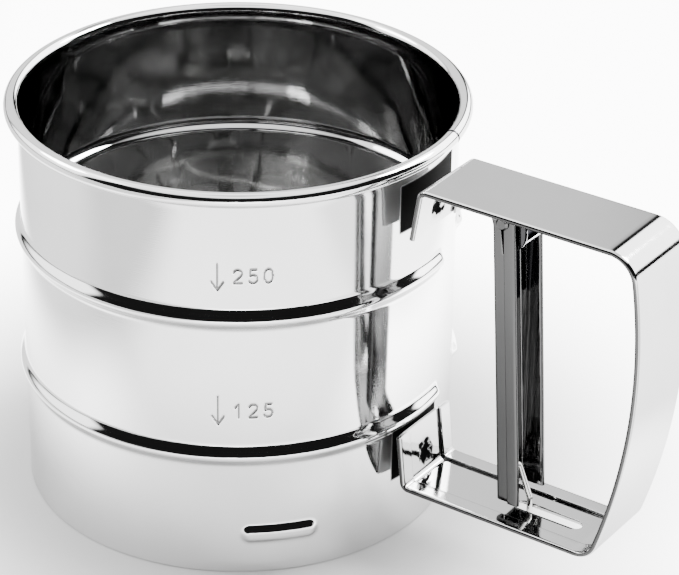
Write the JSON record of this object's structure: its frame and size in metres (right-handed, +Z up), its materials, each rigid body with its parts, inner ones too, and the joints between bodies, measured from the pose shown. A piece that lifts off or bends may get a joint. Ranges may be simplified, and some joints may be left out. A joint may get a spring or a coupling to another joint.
{
  "type": "squeeze-handle flour sifter",
  "caption": "Steel flour sifter cup with a rolled rim and pressed beads; squeezing the trigger in its strap handle swings an agitator over a wire screen.",
  "frame": {"origin": "on the surface the sifter stands on, below the middle of the whole sifter", "axes": "+X from the cup towards the handle, +Z up"},
  "size_m": [0.1639, 0.1058, 0.0963],
  "materials": {
    "polished_steel": "mirror-polished stainless sheet",
    "pressed_steel": "bright pressed stainless sheet",
    "wire_steel": "bright drawn wire",
    "woven_steel": "fine woven stainless wire",
    "spring_steel": "tempered spring strip"
  },
  "bodies": {
    "root": {"cup_shell": "polished_steel", "mesh_ring": "pressed_steel", "mesh_screen": "woven_steel", "support_spider": "pressed_steel", "pivot_pin": "pressed_steel", "pivot_cap": "pressed_steel", "screen_washer": "pressed_steel", "cap_washer": "pressed_steel", "handle_strap": "polished_steel", "hinge_bracket": "pressed_steel", "hinge_pin": "pressed_steel"},
    "trigger": {"trigger": "polished_steel", "return_spring": "spring_steel"},
    "link": {"link_rod": "wire_steel", "link_retainer": "spring_steel"},
    "agitator": {"agitator_hub": "pressed_steel", "agitator_blade_1": "pressed_steel", "agitator_blade_2": "pressed_steel", "agitator_blade_3": "pressed_steel", "agitator_blade_4": "pressed_steel", "crank_arm": "pressed_steel"}
  },
  "joints": [
    {"name": "trigger_squeeze", "type": "hinge", "parent": "root", "child": "trigger", "pos_m": [0.04494, 0, 0.0879], "axis": [0, -1, 0], "range_deg": [0, 11.5], "stiffness_Nm_per_rad": 1.5, "springref_deg": -5.73},
    {"name": "link_slide", "type": "slide", "parent": "root", "child": "link", "axis": [1, 0, 0], "range_m": [0, 0.0121]},
    {"name": "agitator_turn", "type": "hinge", "parent": "root", "child": "agitator", "pos_m": [-0.02906, 0, 0.011], "axis": [0, 0, 1], "range_deg": [0, 53.47]}
  ],
  "couplings": [
    {"joint": "link_slide", "follows": "trigger_squeeze", "m_per_rad": 0.060172},
    {"joint": "agitator_turn", "follows": "trigger_squeeze", "ratio": 4.6456}
  ]
}
